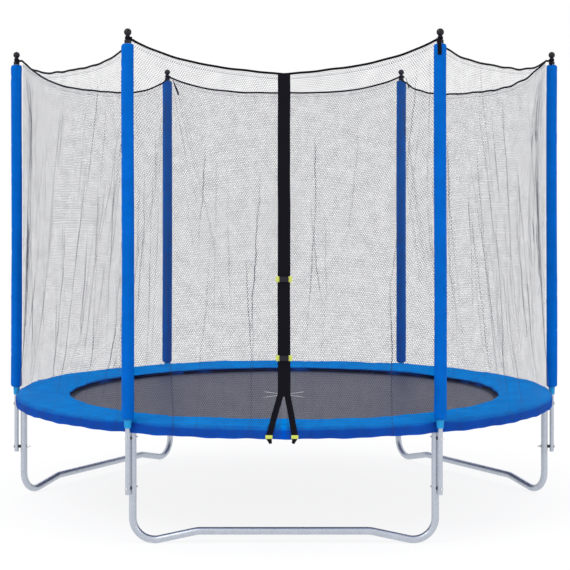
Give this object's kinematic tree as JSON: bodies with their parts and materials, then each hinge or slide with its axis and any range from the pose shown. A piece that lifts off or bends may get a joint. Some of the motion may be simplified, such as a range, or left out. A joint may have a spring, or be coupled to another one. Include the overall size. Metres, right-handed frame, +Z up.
{
  "type": "trampoline",
  "caption": "Round garden trampoline: sprung jumping mat on a tubular ring with bent legs, blue padding over the springs and a net enclosure on padded poles with a zipped entrance.",
  "frame": {"origin": "on the floor under the centre of the round frame", "axes": "+Z up, -Y towards the entrance of the net, +X to the right of someone facing the entrance"},
  "size_m": [3.164, 3.0631, 2.56],
  "materials": {
    "galvanised_steel": "galvanised",
    "zinc_plated_steel": "zinc plated",
    "pad_blue": "coated fabric over foam",
    "sleeve_blue": "satin woven",
    "cuff_cyan": "woven",
    "white_foam": "foam",
    "black_plastic": "moulded",
    "mat_weave": "woven, slightly glossy",
    "black_webbing": "woven webbing",
    "net_mesh": "knitted mesh",
    "yellow_webbing": "woven webbing",
    "zip_metal": "plated"
  },
  "bodies": {
    "frame": {"top_rail_1": "galvanised_steel", "top_rail_2": "galvanised_steel", "top_rail_3": "galvanised_steel", "top_rail_4": "galvanised_steel", "top_rail_5": "galvanised_steel", "top_rail_6": "galvanised_steel", "w_leg_1": "galvanised_steel", "w_leg_2": "galvanised_steel", "w_leg_3": "galvanised_steel", "leg_extensions": "galvanised_steel", "lower_pole_1": "galvanised_steel", "lower_pole_2": "galvanised_steel", "lower_pole_3": "galvanised_steel", "lower_pole_4": "galvanised_steel", "lower_pole_5": "galvanised_steel", "lower_pole_6": "galvanised_steel", "upper_poles": "galvanised_steel", "carriage_bolts": "zinc_plated_steel", "nuts": "zinc_plated_steel", "washers": "zinc_plated_steel", "springs": "zinc_plated_steel", "pole_spacers": "black_plastic", "pole_caps": "black_plastic", "buckle_sockets": "black_plastic", "zip_teeth": "black_plastic", "sleeve_1": "sleeve_blue", "sleeve_2": "sleeve_blue", "sleeve_3": "sleeve_blue", "sleeve_4": "sleeve_blue", "sleeve_5": "sleeve_blue", "sleeve_6": "sleeve_blue", "foam_tubes": "white_foam", "sleeve_cuffs": "cuff_cyan", "pole_ties": "black_webbing", "net_top_tape": "black_webbing", "door_flap": "black_webbing", "door_tails": "black_webbing", "zip_tapes": "black_webbing", "safety_pad": "pad_blue", "net_panel_front_left": "net_mesh", "net_panel_front_right": "net_mesh", "net_panel_right_front": "net_mesh", "net_panel_right_back": "net_mesh", "net_panel_back": "net_mesh", "net_panel_left_back": "net_mesh", "net_panel_left_front": "net_mesh", "tail_loops": "yellow_webbing", "buckle_left_tabs": "yellow_webbing"},
    "mat": {"jumping_mat": "mat_weave", "mat_hem": "black_webbing", "v_rings": "zinc_plated_steel"},
    "zip_slider": {"zip_slider": "zip_metal"},
    "zip_pull": {"zip_pull": "zip_metal"},
    "upper_plug": {"upper_buckle_plug": "black_plastic", "upper_plug_tab": "yellow_webbing"},
    "lower_plug": {"lower_buckle_plug": "black_plastic", "lower_plug_tab": "yellow_webbing"}
  },
  "joints": [
    {"name": "mat_bounce", "type": "slide", "parent": "frame", "child": "mat", "axis": [0, 0, -1], "range_m": [0, 0.2], "stiffness_N_per_m": 4500, "springref_m": -0.06, "deforming": ["springs"]},
    {"name": "zip_travel", "type": "slide", "parent": "frame", "child": "zip_slider", "axis": [0, 0.1061, 0.9944], "range_m": [0, 1.5]},
    {"name": "zip_pull_swing", "type": "hinge", "parent": "zip_slider", "child": "zip_pull", "pos_m": [0, -1.49093, 0.78741], "axis": [1, 0, 0], "range_deg": [0, 150]},
    {"name": "upper_buckle_release", "type": "slide", "parent": "frame", "child": "upper_plug", "axis": [1, 0, 0], "range_m": [0, 0.022]},
    {"name": "lower_buckle_release", "type": "slide", "parent": "frame", "child": "lower_plug", "axis": [1, 0, 0], "range_m": [0, 0.022]}
  ]
}
